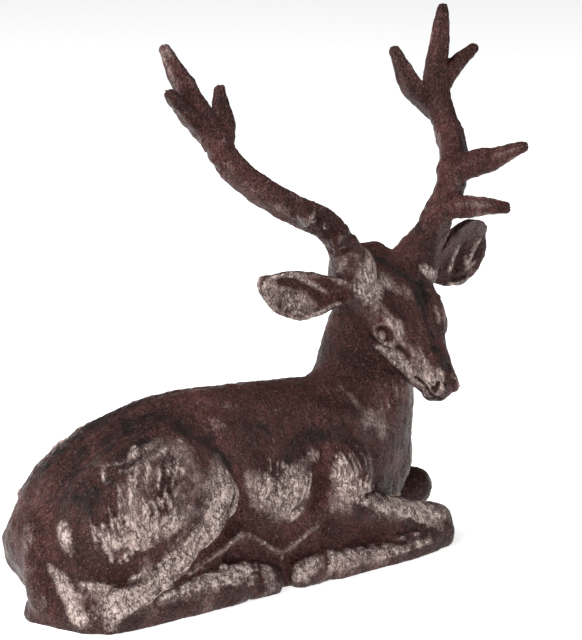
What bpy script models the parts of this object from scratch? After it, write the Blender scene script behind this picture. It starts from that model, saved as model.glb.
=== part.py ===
"""A cast iron stag lying down, its head turned to its right: one casting that rests on its flat underside.

+X runs from the rump to the chest, +Y to the stag's left and +Z up, with the origin in the underside.
The figure keeps its pose and proportions as shares of its height: every form is written in units of
which the figure is FIGURE_UNITS tall, and UNIT turns them into metres.
"""
import bpy
import numpy as np

HEIGHT = 0.275
FIGURE_UNITS = 275
UNIT = HEIGHT / FIGURE_UNITS

IRON = (0.089, 0.034, 0.029, 1)
IRON_ROUGHNESS = 0.45
IRON_METALLIC = 0.6

TRIANGLES = 9600
GROUND_DEPTH = 30

# The turned head: where its crown sits, and how far it is turned and bowed.
POLL = np.array((94.0, -2.0, 156.0))
HEAD_TURN = np.radians(6)
HEAD_BOW = np.radians(50)
UPRIGHT = np.array((0.0, 0.0, 1.0))
HEAD_LEFT = np.array((np.cos(HEAD_TURN), np.sin(HEAD_TURN), 0))
HEAD_AHEAD = np.array((np.sin(HEAD_TURN), -np.cos(HEAD_TURN), 0))
FACE_DOWN = np.cos(HEAD_BOW) * HEAD_AHEAD - np.sin(HEAD_BOW) * UPRIGHT
FACE_OUT = np.sin(HEAD_BOW) * HEAD_AHEAD + np.cos(HEAD_BOW) * UPRIGHT

for old in list(bpy.data.objects):
    bpy.data.objects.remove(old)


def unit_vector(direction):
    """The direction at length one."""
    direction = np.asarray(direction, float)
    return direction / np.linalg.norm(direction)


def smooth_rows(rows, count):
    """Rows of numbers read at even distances along the cubic curve through their first three columns."""
    rows = np.array(rows, float)
    steps = np.linalg.norm(np.diff(rows[:, :3], axis=0), axis=1)
    along = np.concatenate([[0], np.cumsum(steps)])
    if len(rows) == 2:
        slopes = np.repeat((rows[1] - rows[0])[None] / along[1], 2, axis=0)
    else:
        slopes = np.gradient(rows, along, axis=0)
    wanted = np.linspace(0, along[-1], count)
    left = np.clip(np.searchsorted(along, wanted, side="right") - 1, 0, len(along) - 2)
    gap = (along[left + 1] - along[left])[:, None]
    t = (wanted - along[left])[:, None] / gap
    return ((2 * t**3 - 3 * t**2 + 1) * rows[left] + (t**3 - 2 * t**2 + t) * gap * slopes[left]
            + (3 * t**2 - 2 * t**3) * rows[left + 1] + (t**3 - t**2) * gap * slopes[left + 1])


def skin(rings, first, last):
    """Closed form from rings of points, shut at both ends by a pole."""
    count, around, _ = rings.shape
    points = np.concatenate([rings.reshape(-1, 3), [first, last]])
    row, col = np.meshgrid(np.arange(count - 1), np.arange(around), indexing="ij")
    following = (col + 1) % around
    quads = np.stack([row * around + col, row * around + following,
                      (row + 1) * around + following, (row + 1) * around + col], -1).reshape(-1, 4)
    here = np.arange(around)
    there = (here + 1) % around
    end = (count - 1) * around
    start_fan = np.stack([there, here, np.full(around, count * around)], -1)
    end_fan = np.stack([end + here, end + there, np.full(around, count * around + 1)], -1)
    return points, quads.tolist() + start_fan.tolist() + end_fan.tolist()


def limb(rows, up=UPRIGHT, count=24, around=24, caps=(1, 1), power=2.0, taper=0.0):
    """An oval carried along a path, with round ends.

    Each row is x, y, z, half width and half height.  The section is a superellipse of the given power,
    and its lower side is narrower by the share that taper gives.
    """
    rows = smooth_rows(rows, count)
    centre = rows[:, :3]
    wide, high = rows[:, 3], rows[:, 4]
    ahead = np.gradient(centre, axis=0)
    ahead /= np.linalg.norm(ahead, axis=1)[:, None]
    side = np.cross(np.asarray(up, float), ahead)
    side /= np.linalg.norm(side, axis=1)[:, None]
    top = np.cross(ahead, side)
    bend = np.linspace(0, np.pi / 2, 7)[1:-1]

    def cap(end, sign, share):
        """Stations of a round end: the section shrinks by the cosine as it moves out by the sine."""
        reach = sign * share * 0.5 * (wide[end] + high[end]) * ahead[end]
        stations = [(centre[end] + reach * np.sin(a), side[end], top[end],
                     wide[end] * np.cos(a), high[end] * np.cos(a)) for a in bend]
        return stations, centre[end] + reach

    first, first_pole = cap(0, -1, caps[0])
    last, last_pole = cap(-1, 1, caps[1])
    stations = first[::-1] + list(zip(centre, side, top, wide, high)) + last
    middle, across, upward = (np.array([s[i] for s in stations]) for i in range(3))
    width, height = (np.array([s[i] for s in stations])[:, None, None] for i in (3, 4))
    angle = np.arange(around) * 2 * np.pi / around
    cosine = np.sign(np.cos(angle)) * np.abs(np.cos(angle)) ** (2 / power)
    sine = np.sign(np.sin(angle)) * np.abs(np.sin(angle)) ** (2 / power)
    narrowed = cosine * (1 - taper * (1 - sine) / 2)
    rings = (middle[:, None] + width * narrowed[None, :, None] * across[:, None]
             + height * sine[None, :, None] * upward[:, None])
    return skin(rings, first_pole, last_pole)


def mass(centre, radii, ahead=(1, 0, 0), up=UPRIGHT, count=20, around=28):
    """Ellipsoid with its radii along ahead, across it, and up."""
    ahead = unit_vector(ahead)
    side = unit_vector(np.cross(up, ahead))
    top = np.cross(ahead, side)
    centre = np.array(centre, float)
    lift = np.linspace(-np.pi / 2, np.pi / 2, count)[1:-1, None, None]
    angle = (np.arange(around) * 2 * np.pi / around)[None, :, None]
    rings = (centre + radii[0] * np.sin(lift) * ahead + radii[1] * np.cos(lift) * np.cos(angle) * side
             + radii[2] * np.cos(lift) * np.sin(angle) * top)
    return skin(rings, centre - radii[0] * ahead, centre + radii[0] * ahead)


def mirrored(form):
    """The same form on the other side of the body."""
    points, faces = form
    return points * (1, -1, 1), [face[::-1] for face in faces]


def trunk():
    """Barrel of the body from rump to chest, as x, top, bottom and half width, and the rising neck."""
    stations = [(-120, 47, -4, 26), (-108, 62, -5, 34), (-95, 75, -5, 40), (-72, 88, -5, 44),
                (-42, 96, -5, 46), (-7, 95.5, -5, 45), (25, 93.5, -5, 42), (50, 91, -4, 39),
                (72, 82, -3, 33), (82, 68, -2, 26)]
    barrel = [(x, 0, (top + bottom) / 2, half, (top - bottom) / 2) for x, top, bottom, half in stations]
    neck = [(63, 2, 36, 38, 34), (70, 3, 52, 35, 32), (77.5, 4, 66, 33, 29), (83, 5, 82, 30, 26),
            (85.5, 7, 97, 27, 23), (89.5, 7, 120, 22.5, 19), (93, 5, 134, 21, 17)]
    return [limb(barrel, count=40, around=48, caps=(0.45, 0.6), power=2.2),
            limb(neck, up=(0, 1, 0), count=30, around=36, caps=(0.5, 0.5))]


def belly():
    """The bulge of the ribs and of the croup on both sides, and the skin under the rump."""
    ribs = mass((-4, -27, 43), (33, 24, 32))
    croup = mass((-74, -26, 50), (46, 23, 32))
    seat = mass((-106, -26, 22), (22, 24, 30))
    return [ribs, mirrored(ribs), croup, seat]


def haunches():
    """The near thigh, a big oval with the shank band folded along its lower edge, and the far one."""
    near = mass((-78, -29, 49), (50, 27, 39), ahead=(1, 0, 0.3))
    stifle = mass((-53, -36, 55), (26, 15, 24), ahead=(1, 0, 1.2))
    far = mass((-68, 26, 45), (42, 21, 31), ahead=(1, 0, 0.2))
    near_shank = limb([(-44, -43, 53, 9, 14), (-60, -46, 38, 9, 13), (-84, -48.5, 23, 8.5, 11),
                       (-106, -48.5, 12, 8.5, 10)])
    far_shank = limb([(-32, 42, 50, 8, 13), (-50, 44, 36, 8, 11), (-68, 43, 22, 8, 9), (-84, 40, 12, 8, 9)])
    near_foot = limb([(-108, -48, 6, 9, 12), (-88, -50, 7, 7.5, 12), (-60, -50.5, 8, 7, 12), (-34, -50.5, 10, 7, 12)])
    far_foot = limb([(-84, 40, 9, 8, 9), (-64, 44, 9, 7, 8), (-38, 47, 10, 6.5, 7), (-14, 48, 11, 7, 8)])
    tail_root = limb([(-129, -10, 46, 5, 6), (-133, -14, 30, 5, 6), (-132, -22, 12, 7, 8)])
    hock_base = limb([(-128, -14, 3, 9, 10), (-117, -41, 4, 9, 10)], count=8)
    fold = limb([(-76, -49, 17, 4, 5), (-46, -48, 29, 4, 5), (-32, -46, 33, 4, 5), (-9, -45, 21, 6, 7),
                 (8, -45, 27, 5, 6), (22, -44, 38, 5, 6)])
    return [near, far, stifle, fold, near_shank, far_shank, near_foot, far_foot, tail_root, hock_base]


def shoulders():
    """Shoulder, upper arm and folded foreleg on each side; the far knee lies further forward."""
    shoulder = mass((38, -25, 56), (25, 18, 30), ahead=(1, 0, -0.5))
    upper_arm = mass((38, -34, 49), (18, 18, 21), ahead=(1, 0, -0.6))
    near_forearm = limb([(26, -41, 36, 10, 12), (60, -42, 26, 10, 10.5), (88, -38, 18, 9.5, 9.5), (102, -36, 13, 9, 9)])
    near_cannon = limb([(102, -38, 7, 9.5, 10.5), (80, -44, 5, 8, 10), (50, -46, 5, 8, 9.5), (26, -48, 6, 8, 10)])
    far_forearm = limb([(26, 40, 36, 10, 12), (60, 36, 27, 10, 11), (94, 20, 20, 9.5, 9.5), (120, 6, 18, 10, 10.5)])
    far_cannon = limb([(118, 8, 10, 8.5, 9), (90, 28, 8, 7, 7.5), (55, 42, 7.5, 6.5, 7), (26, 48, 8, 7, 8)])
    return [shoulder, mirrored(shoulder), upper_arm, mirrored(upper_arm),
            near_forearm, near_cannon, far_forearm, far_cannon]


def hooves():
    """Four hooves lying flat, and the flat of the casting between the legs."""
    hind = limb([(-27, -50, 9, 6.5, 10.5), (-15, -49, 6, 7, 8)], count=8)
    fore = limb([(20, -49, 8, 6, 9), (4, -49, 6, 7, 8)], count=8)
    far_hind = limb([(-8, 48, 9, 6, 9), (6, 48, 6, 6.5, 8)], count=8)
    sole = limb([(-74, 0, 4, 38, 9), (72, 0, 4, 34, 9)], count=8, power=3)
    flank = limb([(-62, -36, 12, 12, 20), (30, -36, 12, 12, 20)], count=8, power=3)
    near_web = limb([(30, -38, 14, 9, 14), (96, -35, 9, 9, 10)], count=8, power=3)
    far_web = limb([(30, 38, 14, 9, 14), (112, 13, 9, 8, 9)], count=8, power=3)
    return [hind, fore, far_hind, mirrored(fore), sole, flank, mirrored(flank), near_web, far_web]


def head_place(sideways, down, out):
    """A point from the poll: to the head's left, down the face, and out of the face."""
    return POLL + sideways * HEAD_LEFT + down * FACE_DOWN + out * FACE_OUT


def antler_place(sideways, ahead, up):
    """A point from the poll: to the head's left, level ahead of it, and upright."""
    return POLL + sideways * HEAD_LEFT + ahead * HEAD_AHEAD + up * UPRIGHT


def head():
    """Skull and muzzle as distance down the face, half width, bridge and jaw, with brows, eyes and nose."""
    stations = [(-9, 20, -14, -32), (4, 28, -6.5, -39), (18, 31, -1.5, -41), (32, 29, -1, -39),
                (44, 25, -1.5, -35), (53, 20, -2, -32), (63, 14.5, -2, -28.5), (70, 12, -2, -25.5),
                (77, 10.5, -3, -22.5)]
    rows = [(*head_place(0, down, (bridge + jaw) / 2), half, (bridge - jaw) / 2)
            for down, half, bridge, jaw in stations]
    forms = [limb(rows, up=FACE_OUT, count=40, around=40, caps=(0.5, 0.7), power=3.0, taper=0.5)]
    for side in (1, -1):
        slant = FACE_DOWN - 0.25 * side * HEAD_LEFT
        forms.append(mass(head_place(13 * side, 25, -25), (19, 8.5, 12), ahead=FACE_DOWN, up=FACE_OUT))
        forms.append(mass(antler_place(22.5 * side, 3, -10), (9, 9, 15), ahead=HEAD_LEFT))
        forms.append(mass(head_place(15.5 * side, 37, -4.5), (11, 4, 3.5), ahead=slant, up=FACE_OUT))
        forms.append(mass(head_place(19.5 * side, 42.5, -10), (5, 3.5, 4), ahead=FACE_DOWN, up=FACE_OUT))
        forms.append(mass(head_place(5.5 * side, 78, -7.5), (5.5, 4, 4.5), ahead=FACE_DOWN, up=FACE_OUT))
    forms.append(mass(head_place(0, 76, -19.5), (6, 6.5, 4.5), ahead=FACE_DOWN, up=FACE_OUT))
    return forms


def ear(side):
    """A cupped leaf from root to tip: a rounded back, a shallower hollow front and a thick rim.

    The left leaf is broad; the right one's upper edge is nearly straight, so it sags where it is wide.
    """
    root = antler_place(side * 24, 2, -18)
    tip = antler_place(side * 82, -8, -8 if side < 0 else -4)
    ahead = unit_vector(tip - root)
    across = unit_vector(np.cross(ahead, HEAD_AHEAD - 0.15 * UPRIGHT))
    facing = np.cross(across, ahead)
    share = np.linspace(0.02, 0.98, 60)
    half_width = (10.5 if side < 0 else 15) * np.sin(np.pi * share**1.4)**0.65 + 2.5
    depth = 5 * np.sin(np.pi * share)**0.7 + 3
    angle = (np.arange(48) + 0.5) * 2 * np.pi / 48
    cosine, sine = np.cos(angle), -np.sin(angle)
    sag = -0.45 * (half_width - 4) if side < 0 else 0 * half_width
    spread = cosine[None] * half_width[:, None] + sag[:, None]
    cup = np.where(sine < 0, sine, -0.35 * sine)[None] * depth[:, None]
    cup += 3.5 * np.abs(cosine) * np.sqrt(np.sin(np.pi * share))[:, None]
    cup += 2.4 * np.sign(sine) * np.abs(sine)**0.4
    length = np.linalg.norm(tip - root)
    rings = (root + (share * length)[:, None, None] * ahead + spread[..., None] * across
             + cup[..., None] * facing)
    return skin(rings, root, tip)


def antler(side):
    """Beam with brow, tray and three crown tines, as sideways, ahead, up and radius; lean tilts the pair."""
    def tine(rows):
        rows = [(*antler_place(side * out, ahead, up + side * lean), radius, radius)
                for out, ahead, up, lean, radius in rows]
        return limb(rows, up=HEAD_AHEAD, around=16)

    crown = (83.5, -51.5, 73, 1.5, 7.8)
    beam = [(20.5, -8, -14, 0, 12), (28.5, -1, 0, 1, 10), (37.5, 1.5, 15, 3, 8.0), (46, -1.5, 24, 2.5, 8.0),
            (55.5, -8, 31, 4, 8.0), (67.5, -21, 41, 5, 7.8), (76.5, -37, 53, 4, 7.6), (80.5, -47, 65, 2.5, 7.6), crown]
    top = [crown, (90, -56, 88, 2, 6.0), (96, -60, 102, 2.5, 5.0), (100, -63, 112, 2.8, 3.0)]
    outer = [(85, -51.5, 70, 1.5, 6.0), (97, -51, 81, 1.7, 5.0), (109.5, -47.5, 91, 1.7, 3.0)]
    inner = [(79, -44, 60, 1.5, 7.0), (69, -54, 71, 3, 6.6), (63.5, -63, 89, 4.5, 3.2)]
    brow = [(38, 2, 15.5, 3, 7.0), (51, 15, 16, 3, 5.6), (61.5, 25.5, 15.8, 3, 3.2)]
    tray = [(54, -8, 31, 4, 8.2), (69, 6, 37.5, 4, 6.4), (82, 19, 44.5, 4, 2.8)]
    if side < 0:
        brow = [(38, 2, 15.5, 3, 5.6), (47, 11, 15.5, 3, 4.2), (54, 18, 15.8, 3, 2.4)]
        tray = [(54, -6, 28, 2, 6.8), (60.5, 4, 27, 0, 4.8), (66, 12, 27.5, 0, 2.4)]
    return [tine(rows) for rows in (beam, top, outer, inner, brow, tray)]


def gathered(name, forms):
    """One mesh that holds all the forms."""
    points = []
    faces = []
    start = 0
    for form_points, form_faces in forms:
        points.append(form_points)
        faces += [[index + start for index in face] for face in form_faces]
        start += len(form_points)
    mesh = bpy.data.meshes.new(name)
    mesh.from_pydata(np.concatenate(points).tolist(), [], faces)
    return mesh


def mesh_arrays(mesh):
    """Points of a mesh of quads, and its faces."""
    points = np.empty(len(mesh.vertices) * 3, np.float32)
    mesh.vertices.foreach_get("co", points)
    corners = np.empty(len(mesh.loops), np.int32)
    mesh.loops.foreach_get("vertex_index", corners)
    return points.reshape(-1, 3).astype(float), corners.reshape(-1, 4).tolist()


def fused(forms, voxel, passes):
    """Overlapping forms remeshed into one skin of quads, then softened so that they flow together."""
    shell = bpy.data.objects.new("shell", gathered("shell", forms))
    bpy.context.scene.collection.objects.link(shell)
    remesh = shell.modifiers.new("one skin", "REMESH")
    remesh.mode = "VOXEL"
    remesh.voxel_size = voxel
    soften = shell.modifiers.new("soften", "SMOOTH")
    soften.factor = 0.5
    soften.iterations = passes
    graph = bpy.context.evaluated_depsgraph_get()
    arrays = mesh_arrays(bpy.data.meshes.new_from_object(shell.evaluated_get(graph)))
    bpy.data.objects.remove(shell)
    return arrays


def casting():
    """The whole figure: soft trunk first, then the limbs, then the crisp head, antlers and hooves."""
    soft = fused(trunk() + belly(), 3.0, 24)
    limbed = fused([soft] + haunches() + shoulders(), 2.0, 8)
    crisp = head() + hooves() + [ear(1), ear(-1)] + antler(1) + antler(-1)
    return fused([limbed] + crisp, 1.0, 5)


def outward_normals(points, faces):
    """Unit normal of each point: the sum of the crossed diagonals of the quads round it."""
    corner = points[faces]
    crossed = np.cross(corner[:, 2] - corner[:, 0], corner[:, 3] - corner[:, 1])
    total = np.zeros_like(points)
    for turn in range(4):
        np.add.at(total, faces[:, turn], crossed)
    return total / np.maximum(np.linalg.norm(total, axis=1), 1e-9)[:, None]


def stroke(flat, mask, path, width, height, count=24):
    """Bell of the given height across a smooth path: height * exp(-(distance / width)**2), thin at its ends."""
    path = np.array(path, float)
    rows = smooth_rows(np.column_stack([path, np.zeros(len(path))]), count)[:, :2]
    lift = np.zeros(len(flat))
    inside = (flat > rows.min(axis=0) - 3 * width) & (flat < rows.max(axis=0) + 3 * width)
    near = np.nonzero(inside.all(axis=1) & (mask > 0))[0]
    start, step = rows[:-1], np.diff(rows, axis=0)
    away = flat[near][:, None] - start
    along = np.clip((away * step).sum(-1) / (step**2).sum(-1), 0, 1)
    distance = np.linalg.norm(away - along[..., None] * step, axis=-1)
    closest = distance.argmin(axis=1)
    share = (closest + along[np.arange(len(near)), closest]) / (count - 1)
    ends = np.clip(np.minimum(share, 1 - share) / 0.18 + 0.15, 0, 1)
    lift[near] = height * ends * mask[near] * np.exp(-(distance.min(axis=1) / width)**2)
    return lift


def flank_carving(points, normals):
    """Grooves between the muscles and ridges of skin, the same on both flanks, as paths of x and z."""
    strokes = [
        ([(-38, 73), (-31, 63), (-29, 53), (-32, 44), (-42, 36), (-57, 31), (-77, 22)], 2.8, -2.0),
        ([(-117, 62), (-121, 53), (-122, 42), (-118, 32), (-108, 25), (-95, 25), (-82, 32)], 2.6, -1.6),
        ([(-26, 41), (-36, 34), (-46, 29), (-58, 25), (-71, 19)], 1.2, 1.0),
        ([(-36, 33), (-30, 34), (-20, 28), (-9, 21), (0, 24), (10, 28), (20, 31)], 1.2, 1.4),
        ([(-9, 21), (-7, 12), (-5, 4)], 1.2, 1.0),
        ([(26, 68), (25, 60), (22, 52), (16, 43), (10, 36)], 2.4, -1.6),
        ([(22, 30), (19, 18), (17, 8)], 1.4, -1.2),
        ([(32, 21), (46, 18), (62, 15.5), (86, 13)], 0.9, 0.9),
        ([(34, 16), (50, 13.5), (74, 11)], 1.8, -1.4),
        ([(-23, 20), (-25, 11), (-26, 3)], 1.5, -1.2),
        ([(-131, 38), (-129, 27), (-128, 12)], 2.2, 1.2),
        ([(-126, 30), (-125, 18), (-124, 7)], 2.2, 1.0),
        ([(12, 72), (33, 80), (49, 73), (60, 60), (58, 48)], 3.0, -1.0),
    ]
    flat = points[:, [0, 2]]
    low = points[:, 2] < 96
    near = np.clip(-2.2 * normals[:, 1], 0, 1) * (points[:, 1] < -6) * low
    far = np.clip(2.2 * normals[:, 1], 0, 1) * (points[:, 1] > 6) * low
    return sum(stroke(flat, mask, *row) for row in strokes for mask in (near, far))


def face_carving(points, normals):
    """Eyes with their lids, nostrils and mouth as paths down and out of the face, the same on both sides."""
    offset = points - POLL
    sideways, down, out = offset @ HEAD_LEFT, offset @ FACE_DOWN, offset @ FACE_OUT
    face = (down > 12) & (down < 95) & (np.abs(sideways) < 34) & (out > -45) & (out < 12)
    cheek = face * np.clip(2.5 * np.abs(normals @ HEAD_LEFT) - 0.3, 0, 1)
    flat = np.stack([down, out], -1)
    radius = np.hypot((down - 42.8) / 1.15, out + 10)
    ball = 1.4 * np.exp(-(radius / 2.2)**2)
    rim = 1.3 * np.exp(-((radius - 5.2) / 1.1)**2) - 1.5 * np.exp(-((radius - 3.4) / 0.9)**2)
    strokes = [
        ([(27, -6), (34, -4), (42, -3), (49, -5)], 1.8, 1.2),
        ([(34, -21), (40, -21), (46, -17.5), (51, -13)], 1.5, -1.1),
        ([(35, -25), (41, -24), (47, -20), (52, -16)], 1.6, 0.9),
        ([(49, -11), (54, -9), (60, -9)], 1.8, -0.8),
        ([(76.5, -2.5), (79, -4.5), (79.5, -7.5), (77.5, -9)], 1.3, -2.0),
        ([(89, -12), (83, -13), (77, -13.2), (70, -15), (65, -18)], 1.1, -1.4),
        ([(50, -22), (60, -20), (68, -17)], 3.0, 0.9),
    ]
    lift = cheek * (np.abs(sideways) > 12) * (ball + rim)
    lift += sum(stroke(flat, cheek, *row) for row in strokes)
    top = np.stack([np.abs(sideways), down], -1)
    ridge = face * (normals @ FACE_OUT > 0.2)
    lift += stroke(top, ridge, [(0, 16), (0, 30), (0, 50), (0, 74)], 3.2, 0.9)
    return lift + stroke(top, ridge, [(13, 18), (12, 30), (8, 42)], 3.0, -0.8)


def carved(points, faces):
    """The casting with the carving pressed into it along its normals."""
    normals = outward_normals(points, np.array(faces))
    lift = flank_carving(points, normals) + face_carving(points, normals)
    return points + lift[:, None] * normals


def iron():
    """Dark red brown cast iron."""
    material = bpy.data.materials.new("cast iron")
    material.use_nodes = True
    shader = material.node_tree.nodes["Principled BSDF"]
    shader.inputs["Base Color"].default_value = IRON
    shader.inputs["Roughness"].default_value = IRON_ROUGHNESS
    shader.inputs["Metallic"].default_value = IRON_METALLIC
    return material


def ground():
    """Cutter for everything below the underside."""
    reach = 2 * FIGURE_UNITS * UNIT
    deep = GROUND_DEPTH * UNIT
    corners = [(x, y, z) for x in (-reach, reach) for y in (-reach, reach) for z in (-deep, 0)]
    faces = [(0, 1, 3, 2), (4, 6, 7, 5), (0, 4, 5, 1), (2, 3, 7, 6), (0, 2, 6, 4), (1, 5, 7, 3)]
    mesh = bpy.data.meshes.new("ground")
    mesh.from_pydata(corners, [], faces)
    block = bpy.data.objects.new("ground", mesh)
    block.hide_render = True
    block.display_type = "WIRE"
    bpy.context.scene.collection.objects.link(block)
    return block


points, faces = casting()
points = carved(points, faces)
mesh = bpy.data.meshes.new("stag")
mesh.from_pydata((points * UNIT).tolist(), [], faces)
mesh.materials.append(iron())
mesh.shade_smooth()
stag = bpy.data.objects.new("stag", mesh)
bpy.context.scene.collection.objects.link(stag)
facets = stag.modifiers.new("facets", "DECIMATE")
facets.ratio = TRIANGLES / (2 * len(faces))
underside = stag.modifiers.new("underside", "BOOLEAN")
underside.operation = "DIFFERENCE"
underside.solver = "EXACT"
underside.object = ground()
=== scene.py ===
"""Looks of a cast iron stag lying with its head turned: one rough casting in dark red brown paint.

The solid frame carries the shape and the size.  This file models the same casting again at full
finish: the muscles, the carved face, the hair strokes and the grain of the iron.
Forms are written in units of about a millimetre, and the height of the frame turns them into metres.
"""
import bpy
import numpy as np
from mathutils import Matrix, Vector


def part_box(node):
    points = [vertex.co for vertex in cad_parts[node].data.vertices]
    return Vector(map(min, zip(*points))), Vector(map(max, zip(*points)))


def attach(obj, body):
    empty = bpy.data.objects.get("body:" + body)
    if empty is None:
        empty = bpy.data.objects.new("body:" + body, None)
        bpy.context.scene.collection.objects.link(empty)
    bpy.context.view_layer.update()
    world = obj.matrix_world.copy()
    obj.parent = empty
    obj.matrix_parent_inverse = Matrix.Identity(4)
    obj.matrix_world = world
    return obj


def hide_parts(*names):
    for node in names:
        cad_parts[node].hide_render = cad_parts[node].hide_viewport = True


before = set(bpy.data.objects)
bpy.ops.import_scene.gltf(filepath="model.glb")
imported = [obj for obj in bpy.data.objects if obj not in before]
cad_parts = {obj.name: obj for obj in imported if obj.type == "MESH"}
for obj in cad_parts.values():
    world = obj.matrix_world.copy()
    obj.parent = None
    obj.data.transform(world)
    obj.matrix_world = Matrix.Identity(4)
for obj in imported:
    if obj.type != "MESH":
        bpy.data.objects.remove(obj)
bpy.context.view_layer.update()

# The trunk and the neck
# In the real figure the body is one hollow barrel of iron that swells over the ribs and flows up into
# the neck.  It is modelled as ovals carried along paths, and everything else grows out of it.
UPRIGHT = np.array((0.0, 0.0, 1.0))


def unit_vector(direction):
    """The direction at length one."""
    direction = np.asarray(direction, float)
    return direction / np.linalg.norm(direction)


def smooth_rows(rows, count):
    """Rows of numbers read at even distances along the cubic curve through their first three columns."""
    rows = np.array(rows, float)
    steps = np.linalg.norm(np.diff(rows[:, :3], axis=0), axis=1)
    along = np.concatenate([[0], np.cumsum(steps)])
    if len(rows) == 2:
        slopes = np.repeat((rows[1] - rows[0])[None] / along[1], 2, axis=0)
    else:
        slopes = np.gradient(rows, along, axis=0)
    wanted = np.linspace(0, along[-1], count)
    left = np.clip(np.searchsorted(along, wanted, side="right") - 1, 0, len(along) - 2)
    gap = (along[left + 1] - along[left])[:, None]
    t = (wanted - along[left])[:, None] / gap
    return ((2 * t**3 - 3 * t**2 + 1) * rows[left] + (t**3 - 2 * t**2 + t) * gap * slopes[left]
            + (3 * t**2 - 2 * t**3) * rows[left + 1] + (t**3 - t**2) * gap * slopes[left + 1])


def skin(rings, first, last):
    """Closed form from rings of points, shut at both ends by a pole."""
    count, around, _ = rings.shape
    points = np.concatenate([rings.reshape(-1, 3), [first, last]])
    row, col = np.meshgrid(np.arange(count - 1), np.arange(around), indexing="ij")
    following = (col + 1) % around
    quads = np.stack([row * around + col, row * around + following,
                      (row + 1) * around + following, (row + 1) * around + col], -1).reshape(-1, 4)
    here = np.arange(around)
    there = (here + 1) % around
    end = (count - 1) * around
    start_fan = np.stack([there, here, np.full(around, count * around)], -1)
    end_fan = np.stack([end + here, end + there, np.full(around, count * around + 1)], -1)
    return points, quads.tolist() + start_fan.tolist() + end_fan.tolist()


def limb(rows, up=UPRIGHT, count=24, around=24, caps=(1, 1), power=2.0, taper=0.0):
    """An oval carried along a path, with round ends.

    Each row is x, y, z, half width and half height.  The section is a superellipse of the given power,
    and its lower side is narrower by the share that taper gives.
    """
    rows = smooth_rows(rows, count)
    centre = rows[:, :3]
    wide, high = rows[:, 3], rows[:, 4]
    ahead = np.gradient(centre, axis=0)
    ahead /= np.linalg.norm(ahead, axis=1)[:, None]
    side = np.cross(np.asarray(up, float), ahead)
    side /= np.linalg.norm(side, axis=1)[:, None]
    top = np.cross(ahead, side)
    bend = np.linspace(0, np.pi / 2, 7)[1:-1]

    def cap(end, sign, share):
        """Stations of a round end: the section shrinks by the cosine as it moves out by the sine."""
        reach = sign * share * 0.5 * (wide[end] + high[end]) * ahead[end]
        stations = [(centre[end] + reach * np.sin(a), side[end], top[end],
                     wide[end] * np.cos(a), high[end] * np.cos(a)) for a in bend]
        return stations, centre[end] + reach

    first, first_pole = cap(0, -1, caps[0])
    last, last_pole = cap(-1, 1, caps[1])
    stations = first[::-1] + list(zip(centre, side, top, wide, high)) + last
    middle, across, upward = (np.array([s[i] for s in stations]) for i in range(3))
    width, height = (np.array([s[i] for s in stations])[:, None, None] for i in (3, 4))
    angle = np.arange(around) * 2 * np.pi / around
    cosine = np.sign(np.cos(angle)) * np.abs(np.cos(angle)) ** (2 / power)
    sine = np.sign(np.sin(angle)) * np.abs(np.sin(angle)) ** (2 / power)
    narrowed = cosine * (1 - taper * (1 - sine) / 2)
    rings = (middle[:, None] + width * narrowed[None, :, None] * across[:, None]
             + height * sine[None, :, None] * upward[:, None])
    return skin(rings, first_pole, last_pole)


def mass(centre, radii, ahead=(1, 0, 0), up=UPRIGHT, count=20, around=28):
    """Ellipsoid with its radii along ahead, across it, and up."""
    ahead = unit_vector(ahead)
    side = unit_vector(np.cross(up, ahead))
    top = np.cross(ahead, side)
    centre = np.array(centre, float)
    lift = np.linspace(-np.pi / 2, np.pi / 2, count)[1:-1, None, None]
    angle = (np.arange(around) * 2 * np.pi / around)[None, :, None]
    rings = (centre + radii[0] * np.sin(lift) * ahead + radii[1] * np.cos(lift) * np.cos(angle) * side
             + radii[2] * np.cos(lift) * np.sin(angle) * top)
    return skin(rings, centre - radii[0] * ahead, centre + radii[0] * ahead)


def mirrored(form):
    """The same form on the other side of the body."""
    points, faces = form
    return points * (1, -1, 1), [face[::-1] for face in faces]


def trunk():
    """Barrel of the body from rump to chest, as x, top, bottom and half width, and the rising neck."""
    stations = [(-120, 47, -4, 26), (-108, 62, -5, 34), (-95, 75, -5, 40), (-72, 88, -5, 44),
                (-42, 96, -5, 46), (-7, 95.5, -5, 45), (25, 93.5, -5, 42), (50, 91, -4, 39),
                (72, 82, -3, 33), (82, 68, -2, 26)]
    barrel = [(x, 0, (top + bottom) / 2, half, (top - bottom) / 2) for x, top, bottom, half in stations]
    neck = [(63, 2, 36, 38, 34), (70, 3, 52, 35, 32), (77.5, 4, 66, 33, 29), (83, 5, 82, 30, 26),
            (85.5, 7, 97, 27, 23), (89.5, 7, 120, 22.5, 19), (93, 5, 134, 21, 17)]
    return [limb(barrel, count=40, around=48, caps=(0.45, 0.6), power=2.2),
            limb(neck, up=(0, 1, 0), count=30, around=36, caps=(0.5, 0.5))]


def belly():
    """The bulge of the ribs on both sides, the croup on the near side, and the skin under the rump."""
    ribs = mass((-4, -27, 43), (33, 24, 32))
    croup = mass((-74, -26, 50), (46, 23, 32))
    seat = mass((-106, -26, 22), (22, 24, 30))
    return [ribs, mirrored(ribs), croup, seat]


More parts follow.
